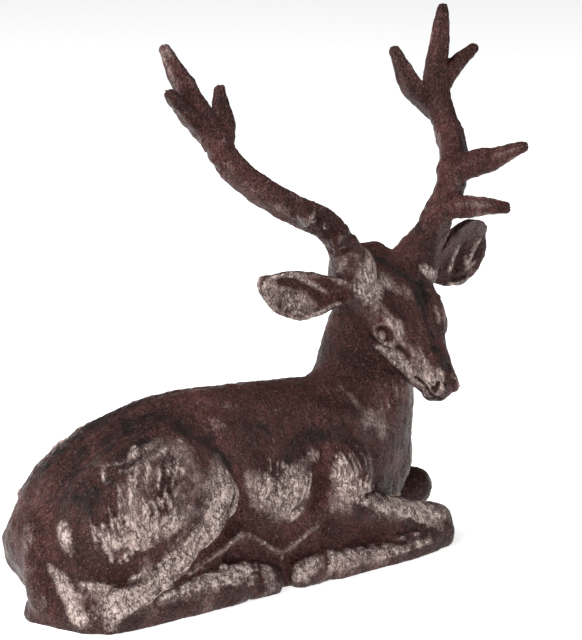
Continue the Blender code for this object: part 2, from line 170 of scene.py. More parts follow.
# The haunches and the hind legs
# The near thigh is the largest muscle of the figure, folded down on its shank, and the foot lies under
# it along the ground.  The far leg lies further forward.
def haunches():
    """The near thigh, a big oval with the shank band folded along its lower edge, and the far one."""
    near = mass((-78, -29, 49), (50, 27, 39), ahead=(1, 0, 0.3))
    stifle = mass((-53, -36, 55), (26, 15, 24), ahead=(1, 0, 1.2))
    far = mass((-68, 26, 45), (42, 21, 31), ahead=(1, 0, 0.2))
    near_shank = limb([(-44, -43, 53, 9, 14), (-60, -46, 38, 9, 13), (-84, -48.5, 23, 8.5, 11),
                       (-106, -48.5, 12, 8.5, 10)])
    far_shank = limb([(-32, 42, 50, 8, 13), (-50, 44, 36, 8, 11), (-68, 43, 22, 8, 9), (-84, 40, 12, 8, 9)])
    near_foot = limb([(-108, -48, 6, 9, 12), (-88, -50, 7, 7.5, 12), (-60, -50.5, 8, 7, 12),
                      (-34, -50.5, 10, 7, 12)])
    far_foot = limb([(-84, 40, 9, 8, 9), (-64, 44, 9, 7, 8), (-38, 47, 10, 6.5, 7), (-14, 48, 11, 7, 8)])
    tail_root = limb([(-129, -10, 46, 5, 6), (-133, -14, 30, 5, 6), (-132, -22, 12, 7, 8)])
    hock_base = limb([(-128, -14, 3, 9, 10), (-117, -41, 4, 9, 10)], count=8)
    fold = limb([(-76, -49, 17, 4, 5), (-46, -48, 29, 4, 5), (-32, -46, 33, 4, 5), (-9, -45, 21, 6, 7),
                 (8, -45, 27, 5, 6), (22, -44, 38, 5, 6)])
    return [near, far, stifle, fold, near_shank, far_shank, near_foot, far_foot, tail_root, hock_base]


# The shoulders and the forelegs
# Each shoulder runs down into a bent elbow, and the forearm and the cannon lie folded on each other.
def shoulders():
    """Shoulder, upper arm and folded foreleg on each side; the far knee lies further forward."""
    shoulder = mass((38, -25, 56), (25, 18, 30), ahead=(1, 0, -0.5))
    upper_arm = mass((38, -34, 49), (18, 18, 21), ahead=(1, 0, -0.6))
    near_forearm = limb([(26, -41, 36, 10, 12), (60, -42, 26, 10, 10.5), (88, -38, 18, 9.5, 9.5),
                         (102, -36, 13, 9, 9)])
    near_cannon = limb([(102, -38, 7, 9.5, 10.5), (80, -44, 5, 8, 10), (50, -46, 5, 8, 9.5),
                        (26, -48, 6, 8, 10)])
    far_forearm = limb([(26, 40, 36, 10, 12), (60, 36, 27, 10, 11), (94, 20, 20, 9.5, 9.5),
                        (120, 6, 18, 10, 10.5)])
    far_cannon = limb([(118, 8, 10, 8.5, 9), (90, 28, 8, 7, 7.5), (55, 42, 7.5, 6.5, 7), (26, 48, 8, 7, 8)])
    return [shoulder, mirrored(shoulder), upper_arm, mirrored(upper_arm),
            near_forearm, near_cannon, far_forearm, far_cannon]


# The hooves and the underside
# The hooves lie flat on the ground, and the iron runs on between the legs down to the flat underside.
def hooves():
    """Four hooves lying flat, and the flat of the casting between the legs."""
    hind = limb([(-27, -50, 9, 6.5, 10.5), (-15, -49, 6, 7, 8)], count=8)
    fore = limb([(20, -49, 8, 6, 9), (4, -49, 6, 7, 8)], count=8)
    far_hind = limb([(-8, 48, 9, 6, 9), (6, 48, 6, 6.5, 8)], count=8)
    sole = limb([(-74, 0, 4, 38, 9), (72, 0, 4, 34, 9)], count=8, power=3)
    flank = limb([(-62, -36, 12, 12, 20), (30, -36, 12, 12, 20)], count=8, power=3)
    near_web = limb([(30, -38, 14, 9, 14), (96, -35, 9, 9, 10)], count=8, power=3)
    far_web = limb([(30, 38, 14, 9, 14), (112, 13, 9, 8, 9)], count=8, power=3)
    return [hind, fore, far_hind, mirrored(fore), sole, flank, mirrored(flank), near_web, far_web]


# The head
# The head is turned over the right shoulder and bowed.  A long wedge of a face carries heavy brows,
# small eyes and a blunt nose.
POLL = np.array((94.0, -2.0, 156.0))
HEAD_TURN = np.radians(6)
HEAD_BOW = np.radians(50)
HEAD_LEFT = np.array((np.cos(HEAD_TURN), np.sin(HEAD_TURN), 0))
HEAD_AHEAD = np.array((np.sin(HEAD_TURN), -np.cos(HEAD_TURN), 0))
FACE_DOWN = np.cos(HEAD_BOW) * HEAD_AHEAD - np.sin(HEAD_BOW) * UPRIGHT
FACE_OUT = np.sin(HEAD_BOW) * HEAD_AHEAD + np.cos(HEAD_BOW) * UPRIGHT


def head_place(sideways, down, out):
    """A point from the poll: to the head's left, down the face, and out of the face."""
    return POLL + sideways * HEAD_LEFT + down * FACE_DOWN + out * FACE_OUT


def antler_place(sideways, ahead, up):
    """A point from the poll: to the head's left, level ahead of it, and upright."""
    return POLL + sideways * HEAD_LEFT + ahead * HEAD_AHEAD + up * UPRIGHT


def head():
    """Skull and muzzle as distance down the face, half width, bridge and jaw, with brows, eyes and nose."""
    stations = [(-9, 20, -14, -32), (4, 28, -6.5, -39), (18, 31, -1.5, -41), (32, 29, -1, -39),
                (44, 25, -1.5, -35), (53, 20, -2, -32), (63, 14.5, -2, -28.5), (70, 12, -2, -25.5),
                (77, 10.5, -3, -22.5)]
    rows = [(*head_place(0, down, (bridge + jaw) / 2), half, (bridge - jaw) / 2)
            for down, half, bridge, jaw in stations]
    forms = [limb(rows, up=FACE_OUT, count=40, around=40, caps=(0.5, 0.7), power=3.0, taper=0.5)]
    for side in (1, -1):
        slant = FACE_DOWN - 0.25 * side * HEAD_LEFT
        forms.append(mass(head_place(13 * side, 25, -25), (19, 8.5, 12), ahead=FACE_DOWN, up=FACE_OUT))
        forms.append(mass(antler_place(22.5 * side, 3, -10), (9, 9, 15), ahead=HEAD_LEFT))
        forms.append(mass(head_place(15.5 * side, 37, -4.5), (11, 4, 3.5), ahead=slant, up=FACE_OUT))
        forms.append(mass(head_place(19.5 * side, 42.5, -10), (5, 3.5, 4), ahead=FACE_DOWN, up=FACE_OUT))
        forms.append(mass(head_place(5.5 * side, 78, -7.5), (5.5, 4, 4.5), ahead=FACE_DOWN, up=FACE_OUT))
    forms.append(mass(head_place(0, 76, -19.5), (6, 6.5, 4.5), ahead=FACE_DOWN, up=FACE_OUT))
    return forms


# The ears
# Two cupped leaves stand out level from the skull, thick at the rim and hollow in front.
def ear(side):
    """A cupped leaf from root to tip: a rounded back, a shallower hollow front and a thick rim.

    The left leaf is broad; the right one's upper edge is nearly straight, so it sags where it is wide.
    """
    root = antler_place(side * 24, 2, -18)
    tip = antler_place(side * 82, -8, -8 if side < 0 else -4)
    ahead = unit_vector(tip - root)
    across = unit_vector(np.cross(ahead, HEAD_AHEAD - 0.15 * UPRIGHT))
    facing = np.cross(across, ahead)
    share = np.linspace(0.02, 0.98, 60)
    half_width = (10.5 if side < 0 else 15) * np.sin(np.pi * share**1.4)**0.65 + 2.5
    depth = 5 * np.sin(np.pi * share)**0.7 + 3
    angle = (np.arange(48) + 0.5) * 2 * np.pi / 48
    cosine, sine = np.cos(angle), -np.sin(angle)
    sag = -0.45 * (half_width - 4) if side < 0 else 0 * half_width
    spread = cosine[None] * half_width[:, None] + sag[:, None]
    cup = np.where(sine < 0, sine, -0.35 * sine)[None] * depth[:, None]
    cup += 3.5 * np.abs(cosine) * np.sqrt(np.sin(np.pi * share))[:, None]
    cup += 2.4 * np.sign(sine) * np.abs(sine)**0.4
    length = np.linalg.norm(tip - root)
    rings = (root + (share * length)[:, None, None] * ahead + spread[..., None] * across
             + cup[..., None] * facing)
    return skin(rings, root, tip)


# The antlers
# Each antler is a lumpy beam with a brow tine, a tray tine and a crown of three, cast solid in one with
# the skull.
TINE_SIDES = 16


def antler(side):
    """Beam with brow, tray and three crown tines, as sideways, ahead, up, lean and radius.

    The lean lifts the left antler and lowers the right one by the same length.
    """
    def tine(rows):
        rows = [(*antler_place(side * out, ahead, up + side * lean), radius, radius)
                for out, ahead, up, lean, radius in rows]
        return limb(rows, up=HEAD_AHEAD, around=TINE_SIDES)

    crown = (83.5, -51.5, 73, 1.5, 7.8)
    beam = [(20.5, -8, -14, 0, 12), (28.5, -1, 0, 1, 10), (37.5, 1.5, 15, 3, 8.0), (46, -1.5, 24, 2.5, 8.0),
            (55.5, -8, 31, 4, 8.0), (67.5, -21, 41, 5, 7.8), (76.5, -37, 53, 4, 7.6),
            (80.5, -47, 65, 2.5, 7.6), crown]
    top = [crown, (90, -56, 88, 2, 6.0), (96, -60, 102, 2.5, 5.0), (100, -63, 112, 2.8, 3.0)]
    outer = [(85, -51.5, 70, 1.5, 6.0), (97, -51, 81, 1.7, 5.0), (109.5, -47.5, 91, 1.7, 3.0)]
    inner = [(79, -44, 60, 1.5, 7.0), (69, -54, 71, 3, 6.6), (63.5, -63, 89, 4.5, 3.2)]
    brow = [(38, 2, 15.5, 3, 7.0), (51, 15, 16, 3, 5.6), (61.5, 25.5, 15.8, 3, 3.2)]
    tray = [(54, -8, 31, 4, 8.2), (69, 6, 37.5, 4, 6.4), (82, 19, 44.5, 4, 2.8)]
    if side < 0:
        brow = [(38, 2, 15.5, 3, 5.6), (47, 11, 15.5, 3, 4.2), (54, 18, 15.8, 3, 2.4)]
        tray = [(54, -6, 28, 2, 6.8), (60.5, 4, 27, 0, 4.8), (66, 12, 27.5, 0, 2.4)]
    return [tine(rows) for rows in (beam, top, outer, inner, brow, tray)]


# The casting
# The forms are fused into one skin of iron, soft where muscle meets muscle and crisp at the head.
def gathered(name, forms):
    """One mesh that holds all the forms."""
    points = []
    faces = []
    start = 0
    for form_points, form_faces in forms:
        points.append(form_points)
        faces += [[index + start for index in face] for face in form_faces]
        start += len(form_points)
    mesh = bpy.data.meshes.new(name)
    mesh.from_pydata(np.concatenate(points).tolist(), [], faces)
    return mesh


def mesh_arrays(mesh):
    """Points of a mesh of quads, and its faces."""
    points = np.empty(len(mesh.vertices) * 3, np.float32)
    mesh.vertices.foreach_get("co", points)
    corners = np.empty(len(mesh.loops), np.int32)
    mesh.loops.foreach_get("vertex_index", corners)
    return points.reshape(-1, 3).astype(float), corners.reshape(-1, 4).tolist()


def fused(forms, voxel, passes):
    """Overlapping forms remeshed into one skin of quads, then softened so that they flow together."""
    shell = bpy.data.objects.new("shell", gathered("shell", forms))
    bpy.context.scene.collection.objects.link(shell)
    remesh = shell.modifiers.new("one skin", "REMESH")
    remesh.mode = "VOXEL"
    remesh.voxel_size = voxel
    soften = shell.modifiers.new("soften", "SMOOTH")
    soften.factor = 0.5
    soften.iterations = passes
    graph = bpy.context.evaluated_depsgraph_get()
    arrays = mesh_arrays(bpy.data.meshes.new_from_object(shell.evaluated_get(graph)))
    bpy.data.objects.remove(shell)
    return arrays


fine_step = 0.65
fine_passes = 9
soft_body = fused(trunk() + belly(), 3.0, 24)
limbed_body = fused([soft_body] + haunches() + shoulders(), 2.0, 8)
crisp_forms = head() + hooves() + [ear(1), ear(-1)] + antler(1) + antler(-1)
points, faces = fused([limbed_body] + crisp_forms, fine_step, fine_passes)


# The carving
# The founder's pattern was carved before it was moulded: grooves part the muscles and thin ridges mark
# the folds of skin.  Each stroke is a path across a flank or a cheek, pressed in along the normals.
def outward_normals(points, faces):
    """Unit normal of each point: the sum of the crossed diagonals of the quads round it."""
    corner = points[faces]
    crossed = np.cross(corner[:, 2] - corner[:, 0], corner[:, 3] - corner[:, 1])
    total = np.zeros_like(points)
    for turn in range(4):
        np.add.at(total, faces[:, turn], crossed)
    return total / np.maximum(np.linalg.norm(total, axis=1), 1e-9)[:, None]


def stroke(flat, mask, path, width, height, count=24):
    """Bell across a smooth path, thin at its ends: height * exp(-(distance / width)**2)."""
    path = np.array(path, float)
    rows = smooth_rows(np.column_stack([path, np.zeros(len(path))]), count)[:, :2]
    lift = np.zeros(len(flat))
    inside = (flat > rows.min(axis=0) - 3 * width) & (flat < rows.max(axis=0) + 3 * width)
    near = np.nonzero(inside.all(axis=1) & (mask > 0))[0]
    start, step = rows[:-1], np.diff(rows, axis=0)
    away = flat[near][:, None] - start
    along = np.clip((away * step).sum(-1) / (step**2).sum(-1), 0, 1)
    distance = np.linalg.norm(away - along[..., None] * step, axis=-1)
    closest = distance.argmin(axis=1)
    share = (closest + along[np.arange(len(near)), closest]) / (count - 1)
    ends = np.clip(np.minimum(share, 1 - share) / 0.18 + 0.15, 0, 1)
    lift[near] = height * ends * mask[near] * np.exp(-(distance.min(axis=1) / width)**2)
    return lift


def flank_carving(points, normals):
    """Grooves between the muscles and ridges of skin, the same on both flanks, as paths of x and z."""
    strokes = [
        ([(-38, 73), (-31, 63), (-29, 53), (-32, 44), (-42, 36), (-57, 31), (-77, 22)], 2.8, -2.0),
        ([(-117, 62), (-121, 53), (-122, 42), (-118, 32), (-108, 25), (-95, 25), (-82, 32)], 2.6, -1.6),
        ([(-26, 41), (-36, 34), (-46, 29), (-58, 25), (-71, 19)], 1.2, 1.0),
        ([(-36, 33), (-30, 34), (-20, 28), (-9, 21), (0, 24), (10, 28), (20, 31)], 1.2, 1.4),
        ([(-9, 21), (-7, 12), (-5, 4)], 1.2, 1.0),
        ([(26, 68), (25, 60), (22, 52), (16, 43), (10, 36)], 2.4, -1.6),
        ([(22, 30), (19, 18), (17, 8)], 1.4, -1.2),
        ([(32, 21), (46, 18), (62, 15.5), (86, 13)], 0.9, 0.9),
        ([(34, 16), (50, 13.5), (74, 11)], 1.8, -1.4),
        ([(-23, 20), (-25, 11), (-26, 3)], 1.5, -1.2),
        ([(-131, 38), (-129, 27), (-128, 12)], 2.2, 1.2),
        ([(-126, 30), (-125, 18), (-124, 7)], 2.2, 1.0),
        ([(12, 72), (33, 80), (49, 73), (60, 60), (58, 48)], 3.0, -1.0),
    ]
    flat = points[:, [0, 2]]
    low = points[:, 2] < 96
    near = np.clip(-2.2 * normals[:, 1], 0, 1) * (points[:, 1] < -6) * low
    far = np.clip(2.2 * normals[:, 1], 0, 1) * (points[:, 1] > 6) * low
    return sum(stroke(flat, mask, *row) for row in strokes for mask in (near, far))


def face_carving(points, normals):
    """Eyes, lids, nostrils and mouth as paths down and out of the face, the same on both sides."""
    offset = points - POLL
    sideways, down, out = offset @ HEAD_LEFT, offset @ FACE_DOWN, offset @ FACE_OUT
    face = (down > 12) & (down < 95) & (np.abs(sideways) < 34) & (out > -45) & (out < 12)
    cheek = face * np.clip(2.5 * np.abs(normals @ HEAD_LEFT) - 0.3, 0, 1)
    flat = np.stack([down, out], -1)
    radius = np.hypot((down - 42.8) / 1.15, out + 10)
    ball = 1.4 * np.exp(-(radius / 2.2)**2)
    rim = 1.3 * np.exp(-((radius - 5.2) / 1.1)**2) - 1.5 * np.exp(-((radius - 3.4) / 0.9)**2)
    strokes = [
        ([(27, -6), (34, -4), (42, -3), (49, -5)], 1.8, 1.2),
        ([(34, -21), (40, -21), (46, -17.5), (51, -13)], 1.5, -1.1),
        ([(35, -25), (41, -24), (47, -20), (52, -16)], 1.6, 0.9),
        ([(49, -11), (54, -9), (60, -9)], 1.8, -0.8),
        ([(76.5, -2.5), (79, -4.5), (79.5, -7.5), (77.5, -9)], 1.3, -2.0),
        ([(89, -12), (83, -13), (77, -13.2), (70, -15), (65, -18)], 1.1, -1.4),
        ([(50, -22), (60, -20), (68, -17)], 3.0, 0.9),
    ]
    lift = cheek * (np.abs(sideways) > 12) * (ball + rim)
    lift += sum(stroke(flat, cheek, *row) for row in strokes)
    top = np.stack([np.abs(sideways), down], -1)
    ridge = face * (normals @ FACE_OUT > 0.2)
    lift += stroke(top, ridge, [(0, 16), (0, 30), (0, 50), (0, 74)], 3.2, 0.9)
    return lift + stroke(top, ridge, [(13, 18), (12, 30), (8, 42)], 3.0, -0.8)


quads = np.array(faces)
normals = outward_normals(points, quads)
flank_lines = flank_carving(points, normals)
face_lines = face_carving(points, normals)

# The folds of the ears
# Each ear is folded along its front: a ridge runs down from the upper rim to the root, paler with painted
# highlight, painted shade darkens the hollow beside it, and short ribs cross the leaf.
EAR_FOLDS = [
    ([(20, 154), (29, 152), (38, 147), (47, 142), (56, 136)], 1.3, 1.3),
    ([(15, 150), (28, 147), (40, 142), (51, 135)], 2.2, -0.8),
    ([(24, 133), (30, 136), (35, 135)], 0.8, 0.7),
    ([(29, 131), (33, 131), (37, 129)], 0.8, 0.7),
    ([(36, 128), (44, 129), (50, 131), (56, 133), (61, 133)], 1.2, 1.1),
    ([(135, 150), (138, 156), (146, 159)], 1.5, -2.0),
    ([(139, 136), (146, 145), (149, 153)], 1.7, 1.0),
    ([(145, 136), (154, 146), (158, 154)], 1.5, -0.8),
    ([(154, 138), (164, 146), (170, 153)], 1.6, 0.8),
    ([(161, 139), (167, 145), (171, 150)], 1.0, -0.6),
    ([(145, 134), (156, 136), (165, 139)], 1.0, 0.7),
    ([(137, 131), (146, 130), (157, 131)], 1.2, 0.9),
]
leaves = np.abs((points - POLL) @ HEAD_LEFT) > 27
leaf_front = leaves * (points[:, 2] > 118) * (points[:, 2] < 168) * np.clip(-2 * normals[:, 1], 0, 1)
ear_lines = sum(stroke(points[:, [0, 2]], leaf_front, *row) for row in EAR_FOLDS)


# The flutes of the antlers
# Shallow grooves run along every beam and tine, as on real antlers.
def flutes(places, height, count, reach=14.0):
    """Waves round the axis of each antler form within reach: height * cos(count * angle round the axis)."""
    lift = np.zeros(len(places))
    closest = np.full(len(places), reach)
    high = np.nonzero(places[:, 2] > POLL[2] + 4)[0]
    for form_points, _ in antler(1) + antler(-1):
        rings = form_points[:-2].reshape(-1, TINE_SIDES, 3)
        centres = rings.mean(axis=1)
        away = np.linalg.norm(places[high, None] - centres, axis=-1)
        nearest = away.argmin(axis=1)
        along = np.gradient(centres, axis=0)[nearest]
        along /= np.linalg.norm(along, axis=1)[:, None]
        zero = (rings[:, 0] - centres)[nearest]
        offset = places[high] - centres[nearest]
        angle = np.arctan2(np.sum(np.cross(along, zero) * offset, axis=1), np.sum(zero * offset, axis=1))
        better = away.min(axis=1) < closest[high]
        lift[high[better]] = height * np.cos(count * angle[better] + centres[nearest[better], 2] / 25)
        closest[high[better]] = away.min(axis=1)[better]
    return lift


carving = flank_lines + 1.2 * face_lines + ear_lines + flutes(points, 0.45, 5)

# The hair
# The coat was combed into the pattern with a point: long strokes sweep round the thigh and down the
# flank, and short ones follow each leg.
random = np.random.default_rng(7)
flank = points[:, [0, 2]]
near_side = np.clip(-2.2 * normals[:, 1], 0, 1) * (points[:, 1] < -4) * (points[:, 2] > 3)
far_side = np.clip(2.2 * normals[:, 1], 0, 1) * (points[:, 1] > 4) * (points[:, 2] > 3)


COMB_POINTS = 60


def combed(path, spread, gap, piece, width, height):
    """Strokes side by side along a path of x and z, on both flanks, each broken into pieces."""
    rows = smooth_rows(np.column_stack([path, np.zeros(len(path))]), COMB_POINTS)[:, :2]
    slope = np.gradient(rows, axis=0)
    square = np.stack([-slope[:, 1], slope[:, 0]], axis=1) / np.linalg.norm(slope, axis=1)[:, None]
    pace = np.linalg.norm(slope, axis=1).mean()
    lift = np.zeros(len(flank))
    for mask in (near_side, far_side):
        for shift in np.arange(-spread, spread + 0.1, gap):
            line = rows + (shift + random.uniform(-0.3, 0.3) * gap) * square
            first = int(random.uniform(-0.5, 0.3) * piece / pace)
            while first < 0.9 * COMB_POINTS:
                last = first + int(piece * random.uniform(0.6, 1.3) / pace)
                bits = line[max(first, 0):min(last, COMB_POINTS)]
                if len(bits) > 3:
                    ends = bits[[0, len(bits) // 2, -1]] + random.uniform(-0.25, 0.25, (3, 2)) * gap
                    lift += stroke(flank, mask, ends, width, height * random.uniform(0.6, 1.3), count=6)
                first = last + int(piece * random.uniform(0.05, 0.4) / pace)
    return lift


hair = combed([(-35, 68), (-40, 57), (-52, 44), (-68, 32), (-92, 21), (-112, 15)], 7, 2.8, 16, 1.0, 0.8)
hair += combed([(-84, 87), (-93, 72), (-96, 56), (-94, 44)], 21, 4.2, 20, 1.0, 0.7)
hair += combed([(-98, 60), (-95, 51), (-90, 40)], 19, 3.4, 12, 1.0, 0.9)
hair += combed([(2, 64), (-3, 53), (-12, 43)], 12, 3.0, 12, 1.0, 0.8)
hair += combed([(39, 68), (42, 54), (40, 42)], 9, 2.8, 14, 1.0, 0.8)
hair += combed([(38, 44), (60, 34), (80, 25), (100, 15)], 5, 2.5, 10, 0.9, 0.7)
hair += combed([(18, 11), (50, 10), (90, 12)], 4, 2.5, 10, 0.9, 0.6)
hair += combed([(-26, 12), (-55, 18), (-98, 15)], 4, 2.5, 10, 0.9, 0.6)
hair += combed([(50, 122), (46, 106), (38, 92), (34, 76)], 12, 4.0, 16, 1.0, 0.45)
hair += combed([(82, 112), (84, 92), (84, 74)], 8, 3.6, 14, 1.0, 0.4)
hair += combed([(-104, 82), (-60, 93), (-10, 91), (34, 94)], 7, 3.4, 22, 1.0, 0.4)

# The grain
# Sand moulding leaves the skin of the iron lumpy and pitted, never smooth.
def grain(places, length, waves, seed):
    """Mean of sine waves in random directions, all of about the same length: a lumpy field from -1 to 1."""
    draw = np.random.default_rng(seed)
    total = np.zeros(len(places))
    for _ in range(waves):
        direction = unit_vector(draw.normal(size=3)) * 2 * np.pi / (length * draw.uniform(0.7, 1.3))
        total += np.sin(places @ direction + draw.uniform(0, 2 * np.pi))
    return total / np.sqrt(waves)


lumps = 0.32 * grain(points, 16, 10, 1) + 0.16 * grain(points, 6, 14, 2)
pits = 0.10 * grain(points + 1.5 * grain(points, 9, 6, 4)[:, None], 2.6, 16, 3)

# The wear, the painted sheen and the painted shade
# The light areas are painted sheen and highlights in a pale iron colour, joined by wear where handling has
# rubbed the swells.  Painted shade lies dark along the upper edges of the muscles, under the jaw and in the
# creases, and the hollows stay dark red.
def levelled(places, rounds):
    """Each point at the mean of its neighbours along the edges, taken the given number of times."""
    starts, ends = quads.ravel(), np.roll(quads, -1, axis=1).ravel()
    count = np.bincount(starts, minlength=len(places))
    for _ in range(rounds):
        sums = [np.bincount(starts, weights=places[ends, axis], minlength=len(places)) for axis in range(3)]
        places = np.stack(sums, axis=1) / count[:, None]
    return places


def patches(flat, rows):
    """Largest of several soft patches: strength * exp(-(distance to the path / radius)**2)."""
    total = np.zeros(len(flat))
    for path, radius, strength in rows:
        path = np.array(path, float)
        way = [first + share * (last - first) for first, last in zip(path[:-1], path[1:])
               for share in np.linspace(0, 1, 5)]
        distance = np.min([np.linalg.norm(flat - place, axis=1) for place in way], axis=0)
        total = np.maximum(total, strength * np.exp(-(distance / radius)**2))
    return total


# Each patch is a path, its radius and its strength, put where the photo is light or black: x and z on
# the flanks, x, y and z on the rump, and sideways, down and out on the head.
# Light patches on the flanks: painted sheen and highlights, with some wear.
SHEEN_AND_WEAR_FLANK = [
    ([(-43, 64), (-51, 56), (-53, 45), (-64, 34), (-90, 23), (-110, 15)], 12, 1.1),
    ([(-66, 52), (-90, 49), (-108, 45)], 9, 0.75),
    ([(-98, 74), (-81, 81), (-68, 81)], 13, 0.65),
    ([(-98, 62), (-80, 66), (-60, 66)], 13, 0.4),
    ([(-20, 56), (-9, 47), (3, 56)], 12, 1.0),
    ([(6, 62), (18, 65)], 7, 0.9),
    ([(28, 54), (33, 42)], 8, 1.0),
    ([(43, 40), (67, 31), (96, 17)], 7, 1.0),
    ([(26, 11), (56, 10), (86, 10)], 5, 0.8),
    ([(-34, 18), (-58, 16), (-84, 14)], 6, 1.0),
    ([(-20, 14), (-19, 5)], 5, 0.9),
    ([(9, 14), (1, 8)], 5, 0.9),
    ([(20, 14), (19, 6)], 3, 0.7),
    ([(55, 96), (56, 90)], 4, 0.65),
    ([(57, 85), (58, 79)], 4, 0.75),
    ([(60, 75), (70, 67)], 6, 0.9),
    ([(57, 154), (57, 147), (62, 141)], 3, 0.6),
    ([(17, 147), (26, 141), (37, 137)], 9, 1.15),
    ([(157, 141), (165, 149)], 7, 0.8),
    ([(141, 138), (147, 147)], 4, 0.8),
    ([(31, 186), (45, 177)], 7, 0.7),
]
# Black patches on the flanks: painted shade along the upper edges of the muscles.
SHADE_FLANK = [
    ([(-104, 74), (-89, 84), (-69, 92), (-57, 93), (-46, 83), (-37, 72)], 7, 0.9),
    ([(0, 66), (8, 72), (22, 74), (38, 72), (46, 63)], 5, 0.8),
    ([(-117, 64), (-109, 74)], 7, 0.8),
    ([(-16, 84), (0, 80)], 5, 0.6),
]
# Light patches on the rump: painted sheen and highlights, with some wear.
SHEEN_AND_WEAR_RUMP = [
    ([(-126, 32, 51), (-125, 36, 46), (-122, 38, 40)], 5, 1.0),
    ([(-126, 6, 54), (-133, 16, 42)], 1.2, 0.6),
    ([(-129, 25, 29), (-127, 31, 24)], 4, 0.9),
    ([(-127, 31, 24), (-126, 36, 15), (-125, 43, 8)], 5, 1.0),
    ([(-122, 41, 24), (-115, 47, 23), (-107, 47, 25)], 1.8, 0.8),
]
# Light patches on the head: painted sheen and highlights, with some wear.
SHEEN_AND_WEAR_HEAD = [
    ([(-22, 13, 3), (-14, 17, -2), (-22, 18, -3)], 9, 1.4),
    ([(-17, 49, -19), (-13, 58, -18), (-9, 67, -17), (-8, 74, -12)], 10, 1.15),
    ([(-20, 38, -3), (-18, 44, -4)], 2.5, 0.6),
    ([(-15, 41, -2), (-16, 48, -5)], 2, 0.8),
    ([(-4, 74, -3), (-7, 80, -4)], 4, 1.1),
    ([(3, 76, -3), (5, 80, -4)], 3, 0.6),
    ([(-20, 40, -24), (-18, 44, -21), (-16, 51, -15)], 1.5, 0.8),
    ([(17, 15, 0), (21, 19, -1)], 5, 1.1),
    ([(12, 37, -2), (11, 45, -2)], 3, 0.8),
    ([(13, 56, -15), (9, 71, -11)], 6, 0.6),
]
# Black patches on the head: painted shade down the middle of the face, under the jaw and at the poll.
SHADE_HEAD = [
    ([(-2, 0, -8), (2, 12, -3), (6, 25, -1), (3, 41, -1), (0, 58, -1), (2, 70, -2)], 4, 1.2),
    ([(-21, 38, -25), (-16, 47, -28), (-11, 54, -30), (-6, 66, -26)], 2.5, 0.8),
    ([(-2, -4, -8), (14, -4, -2), (22, -6, 6)], 5, 0.6),
]
on_head = np.stack([(points - POLL) @ axis for axis in (HEAD_LEFT, FACE_DOWN, FACE_OUT)], axis=1)
on_both = np.column_stack([points[:, 0], np.abs(points[:, 1]), points[:, 2]])
side_share = np.clip(2.5 * np.abs(normals[:, 1]), 0, 1)
top_share = np.clip(0.4 + 4 * np.abs(normals[:, 1]), 0, 1)
# Painted shade: dark along the upper edges of the muscles, down the face, under the jaw and in the creases.
painted_shade = top_share * patches(flank, SHADE_FLANK) + patches(on_head, SHADE_HEAD)
painted_shade += np.clip(-1.2 * face_lines, 0, 0.7) + np.clip(-0.6 * ear_lines, 0, 0.9)

# The swell is how far a point stands out from the skin that lies about this wide round it.
WIDE = 4
swell = np.sum((points - levelled(points, int((WIDE / fine_step)**2))) * normals, axis=1)
sideways, down, out = on_head.T
swell *= np.where((np.abs(sideways) < 36) & (down > 4) & (down < 90) & (out > -42), 0.4, 1)

# Wear on the swells plus painted sheen and highlights on the light patches, carving ridges and hair strokes.
wear_and_sheen = 1.15 * side_share * patches(flank, SHEEN_AND_WEAR_FLANK) + 1.3 * patches(on_head, SHEEN_AND_WEAR_HEAD)
wear_and_sheen += 1.2 * patches(on_both, SHEEN_AND_WEAR_RUMP)
wear_and_sheen += 0.5 * np.clip(swell / 0.5 - 0.5, -1.6, 0.5) + 0.45 * np.clip(carving, -1.5, 1) + 1.1 * (hair - 0.2)
wear_and_sheen += 0.5 * np.clip(ear_lines, 0, 1) - 0.3 * (points[:, 2] > POLL[2] + 12)
# Painted shade takes the pale share away again.
wear_and_sheen = np.clip(wear_and_sheen - 0.6 * painted_shade, -1, 1)

surface = carving + 1.3 * hair + lumps + pits
points = points + surface[:, None] * normals
points[:, 2] = np.where(points[:, 2] < 0.6, np.clip(points[:, 2], 0, None), points[:, 2])

# The skin of iron
# One closed mesh, thinned where it is flat, stands for the solid stag at the solid's own height.  It
# keeps the wear share, with its painted sheen, and the painted shade of every point for the finish.
UNIT = float(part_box("stag")[1][2]) / points[:, 2].max()
TRIANGLES = 196000
mesh = bpy.data.meshes.new("stag_casting")
mesh.from_pydata((points * UNIT).tolist(), [], quads.tolist())
for name, values in (("wear_and_sheen", wear_and_sheen), ("painted_shade", painted_shade)):
    mesh.attributes.new(name, "FLOAT", "POINT").data.foreach_set("value", values.astype(np.float32))
mesh.shade_smooth()
casting = bpy.data.objects.new("stag_casting", mesh)
bpy.context.scene.collection.objects.link(casting)
thin = casting.modifiers.new("thin", "DECIMATE")
thin.ratio = TRIANGLES / (2 * len(quads))
graph = bpy.context.evaluated_depsgraph_get()
thinned = bpy.data.meshes.new_from_object(casting.evaluated_get(graph))
casting.modifiers.clear()
casting.data = thinned
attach(casting, "root")
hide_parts("stag")
